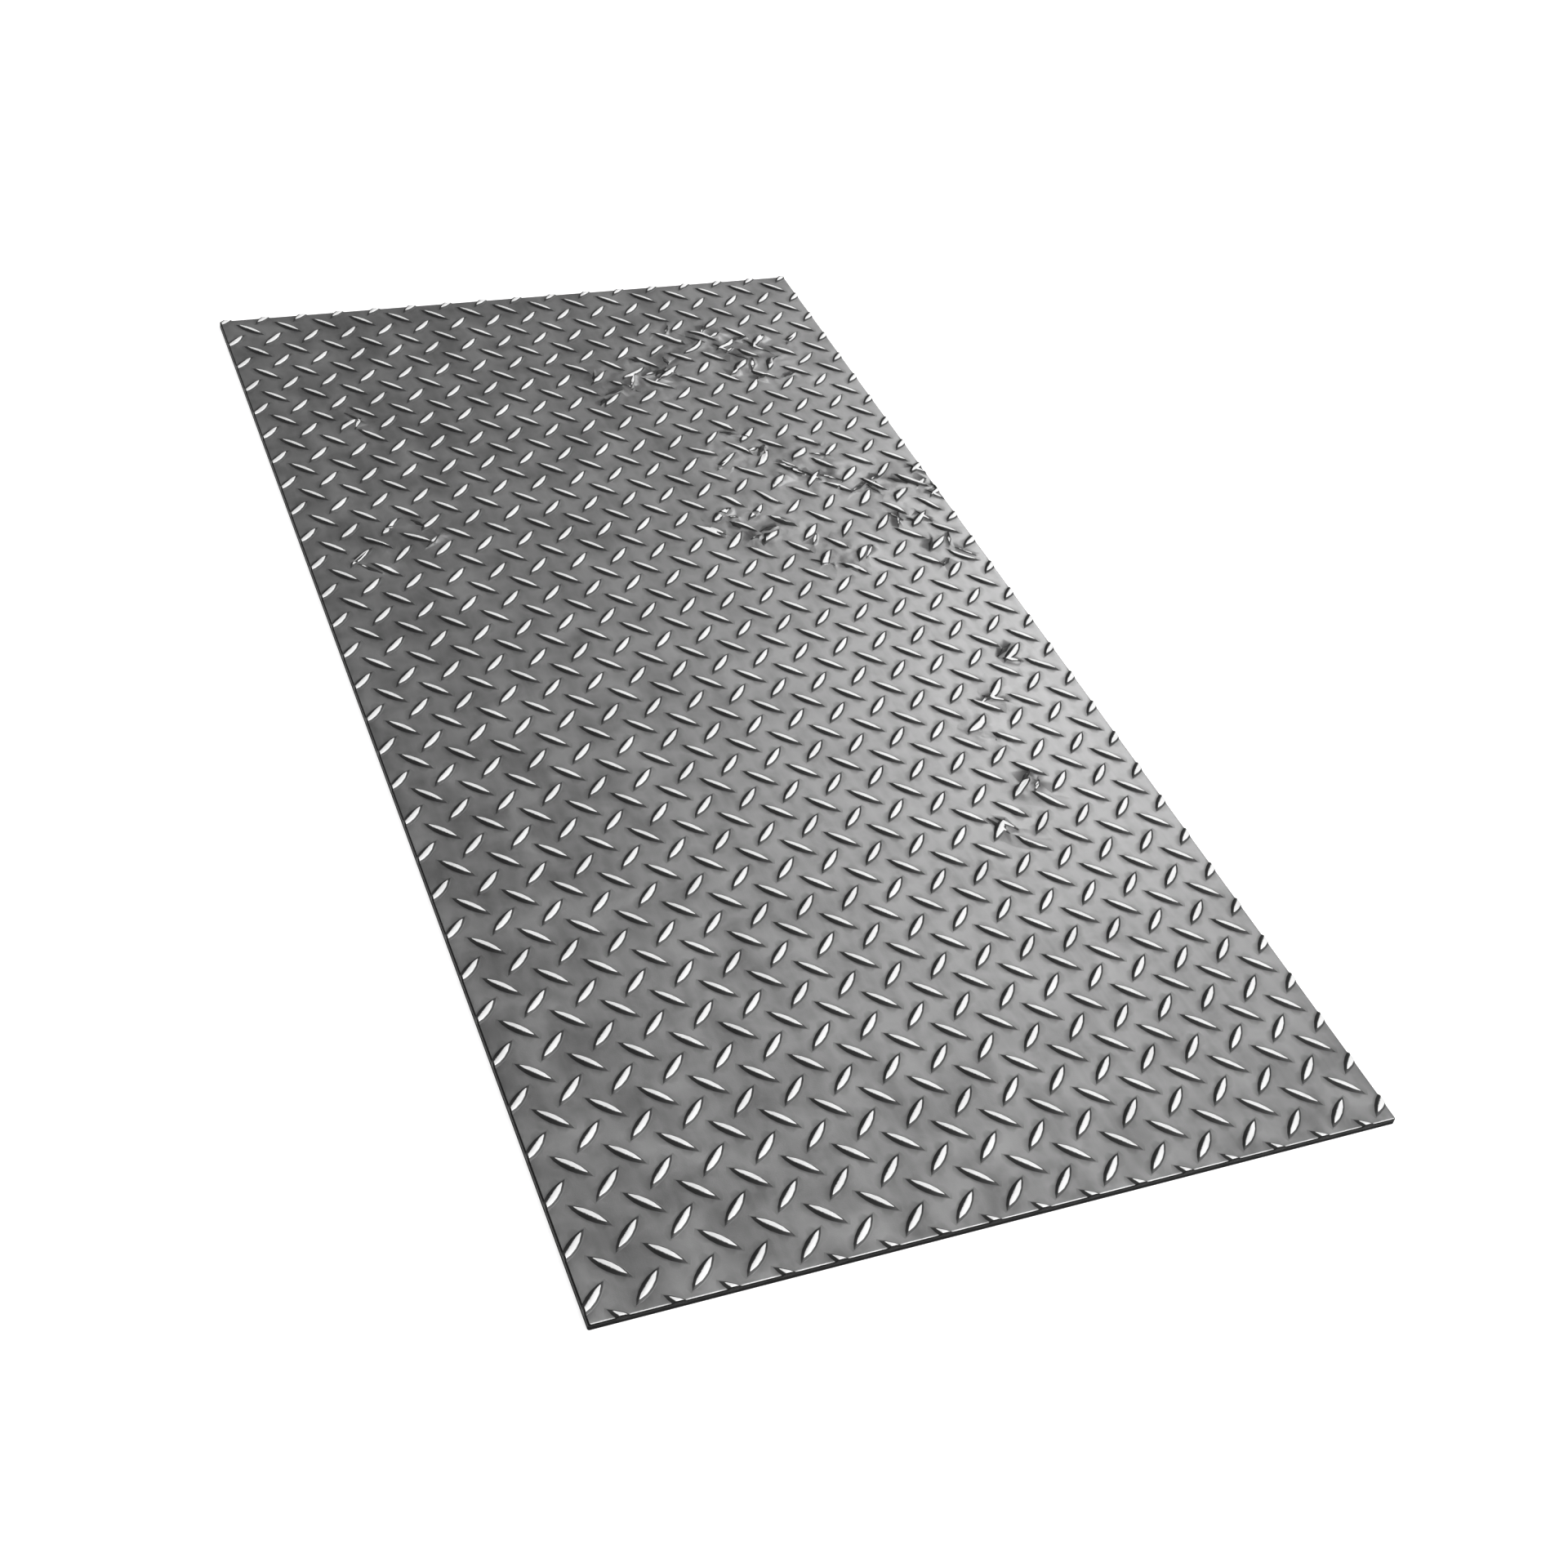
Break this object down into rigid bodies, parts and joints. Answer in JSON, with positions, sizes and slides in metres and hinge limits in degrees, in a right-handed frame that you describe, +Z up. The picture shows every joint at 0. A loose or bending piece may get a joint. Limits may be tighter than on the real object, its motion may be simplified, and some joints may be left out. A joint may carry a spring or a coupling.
{
  "type": "checker steel plate",
  "caption": "Flat rectangular panel of rolled steel floor plate with a raised lug tread, for walkways, steps, ramps and covers.",
  "frame": {"origin": "middle of the underside, on the surface that the panel lies on", "axes": "+X across the panel, +Y along it in the rolling direction, +Z up out of the tread face"},
  "size_m": [0.6, 1.2, 0.006],
  "materials": {
    "mill_steel": "hot-rolled and descaled, soft satin grey, with the lug crowns rubbed bright"
  },
  "bodies": {
    "root": {"checker_plate": "mill_steel"}
  },
  "joints": []
}
